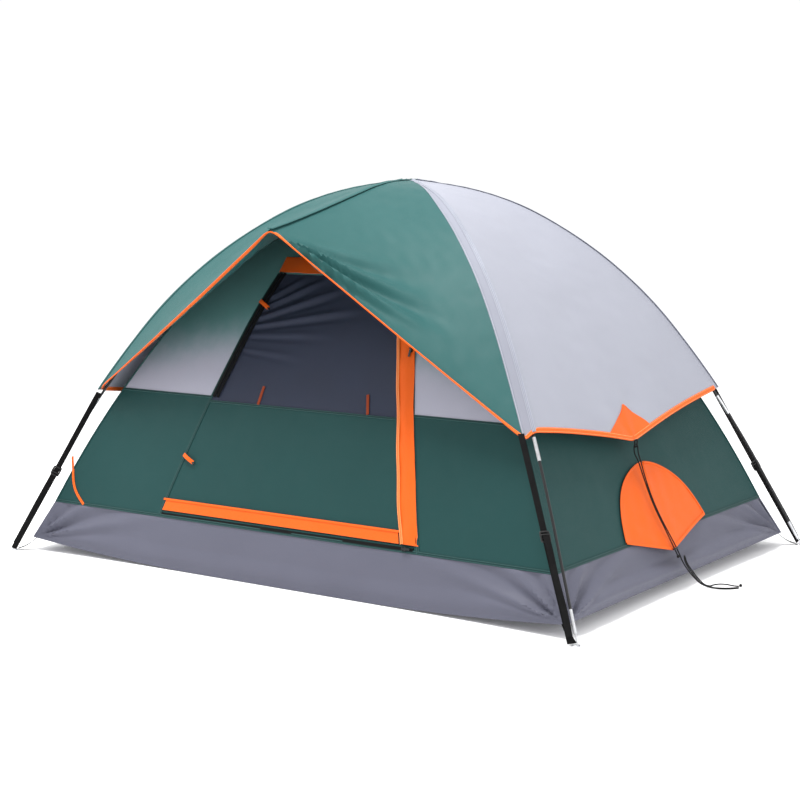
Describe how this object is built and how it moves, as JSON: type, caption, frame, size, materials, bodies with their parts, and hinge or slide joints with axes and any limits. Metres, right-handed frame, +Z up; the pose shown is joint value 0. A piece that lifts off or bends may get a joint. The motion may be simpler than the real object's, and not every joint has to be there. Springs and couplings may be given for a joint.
{
  "type": "dome camping tent",
  "caption": "Two-pole dome camping tent with mesh-window door, partial rain fly with ridge awnings, bathtub floor and a side guy line.",
  "frame": {"origin": "on the ground, at the centre of the four feet, under the crown", "axes": "+X along the width towards the side with the guy line, -Y out of the front door, +Z up"},
  "size_m": [2.3159, 1.6566, 1.2698],
  "materials": {
    "pole_tube": "pultruded fibreglass, black",
    "ferrule_steel": "plated steel tube",
    "shock_cord": "braided elastic",
    "foot_steel": "zinc plated steel wire",
    "wall_green": "coated polyester, woven",
    "wall_grey": "breathable polyester, woven",
    "window_mesh": "fine insect mesh",
    "tub_grey": "coated polyester floor cloth",
    "orange_trim": "polyester tape and cloth",
    "zip_black": "nylon coil",
    "zip_metal": "painted zinc",
    "black_plastic": "moulded acetal",
    "webbing_black": "polypropylene webbing",
    "fly_green": "coated polyester, woven",
    "fly_grey": "coated polyester, woven",
    "guy_cord": "braided polyester cord"
  },
  "bodies": {
    "tent": {"back_wall_lower": "wall_green", "back_wall_upper": "wall_grey", "clip_tabs": "webbing_black", "corner_webbing": "webbing_black", "door_sill": "wall_green", "door_toggle_tabs": "orange_trim", "door_top_band": "orange_trim", "door_zip_coils": "zip_black", "foot_pins": "foot_steel", "foot_rings": "foot_steel", "front_left_pole_tubes": "pole_tube", "front_right_pole_tubes": "pole_tube", "front_wall_left_lower": "wall_green", "front_wall_left_upper": "wall_grey", "front_wall_right_lower": "wall_green", "front_wall_right_upper": "wall_grey", "front_wall_top": "wall_grey", "groundsheet": "tub_grey", "left_wall_lower": "wall_green", "left_wall_upper": "wall_grey", "pole_clips": "black_plastic", "pole_ferrules": "ferrule_steel", "pole_shock_cords": "shock_cord", "pole_tips": "ferrule_steel", "rear_window_mesh": "window_mesh", "right_wall_lower": "wall_green", "right_wall_upper": "wall_grey", "tub_walls": "tub_grey", "vent_hood": "orange_trim"},
    "door_left": {"door_left_lower": "wall_green", "door_left_window": "window_mesh", "door_bottom_band_left": "orange_trim"},
    "door_right": {"door_right_lower": "wall_green", "door_right_window": "window_mesh", "door_side_band": "orange_trim", "door_bottom_band_right": "orange_trim"},
    "side_zip_slider": {"side_zip_slider": "zip_metal"},
    "side_zip_pull": {"side_zip_pull": "zip_metal"},
    "bottom_zip_slider": {"bottom_zip_slider": "zip_metal"},
    "bottom_zip_pull": {"bottom_zip_pull": "zip_metal"},
    "rain_fly": {"fly_front_left_panel": "fly_green", "fly_front_right_panel": "fly_green", "fly_back_left_panel": "fly_green", "fly_back_right_panel": "fly_green", "fly_side_left": "fly_grey", "fly_side_right": "fly_grey", "fly_tie_out_patches": "orange_trim", "fly_corner_straps": "webbing_black", "ridge_pole_tubes": "pole_tube", "ridge_pole_ferrules": "ferrule_steel", "ridge_pole_shock_cord": "shock_cord", "guy_loops": "webbing_black", "guy_line": "guy_cord", "guy_line_knot": "guy_cord"},
    "guy_tensioner": {"guy_line_tensioner": "black_plastic"},
    "adjuster_front_left": {"strap_adjuster_front_left": "black_plastic"},
    "adjuster_front_right": {"strap_adjuster_front_right": "black_plastic"},
    "adjuster_back_left": {"strap_adjuster_back_left": "black_plastic"},
    "adjuster_back_right": {"strap_adjuster_back_right": "black_plastic"}
  },
  "joints": [
    {"name": "door_swing", "type": "hinge", "parent": "tent", "child": "door_left", "pos_m": [-0.5, -0.71181, 0.19], "axis": [0.2558, 0.4018, 0.8793], "range_deg": [0, 25]},
    {"name": "door_fold", "type": "hinge", "parent": "door_left", "child": "door_right", "pos_m": [0.1, -0.70995, 0.19], "axis": [-0.0528, 0.4158, 0.9079], "range_deg": [0, 160]},
    {"name": "side_zip_travel", "type": "hinge", "parent": "tent", "child": "side_zip_slider", "pos_m": [0.83828, 3.30226, -0.94877], "axis": [0.9602, 0, 0.2793], "range_deg": [0, 7.27]},
    {"name": "side_zip_pull_tilt", "type": "hinge", "parent": "side_zip_slider", "child": "side_zip_pull", "pos_m": [0.34409, -0.49926, 0.75687], "axis": [-1, 0, 0], "range_deg": [0, 100]},
    {"name": "bottom_zip_travel", "type": "slide", "parent": "tent", "child": "bottom_zip_slider", "axis": [-1, 0, 0], "range_m": [0, 0.93]},
    {"name": "bottom_zip_pull_tilt", "type": "hinge", "parent": "bottom_zip_slider", "child": "bottom_zip_pull", "pos_m": [0.466, -0.72615, 0.1818], "axis": [0, -0.3107, -0.9505], "range_deg": [0, 100]},
    {"name": "fly_lift", "type": "slide", "parent": "tent", "child": "rain_fly", "axis": [0, 0, 1], "range_m": [0, 1.3]},
    {"name": "adjuster_front_left_travel", "type": "slide", "parent": "rain_fly", "child": "adjuster_front_left", "axis": [0.4185, 0.2639, 0.869], "range_m": [-0.06, 0.06]},
    {"name": "adjuster_front_right_travel", "type": "slide", "parent": "rain_fly", "child": "adjuster_front_right", "axis": [-0.4185, 0.2639, 0.869], "range_m": [-0.06, 0.06]},
    {"name": "adjuster_back_left_travel", "type": "slide", "parent": "rain_fly", "child": "adjuster_back_left", "axis": [0.4185, -0.2639, 0.869], "range_m": [-0.06, 0.06]},
    {"name": "adjuster_back_right_travel", "type": "slide", "parent": "rain_fly", "child": "adjuster_back_right", "axis": [-0.4185, -0.2639, 0.869], "range_m": [-0.06, 0.06]},
    {"name": "guy_tensioner_travel", "type": "slide", "parent": "rain_fly", "child": "guy_tensioner", "axis": [-0.4698, -0.0587, 0.8808], "range_m": [-0.012, 0.012]}
  ]
}
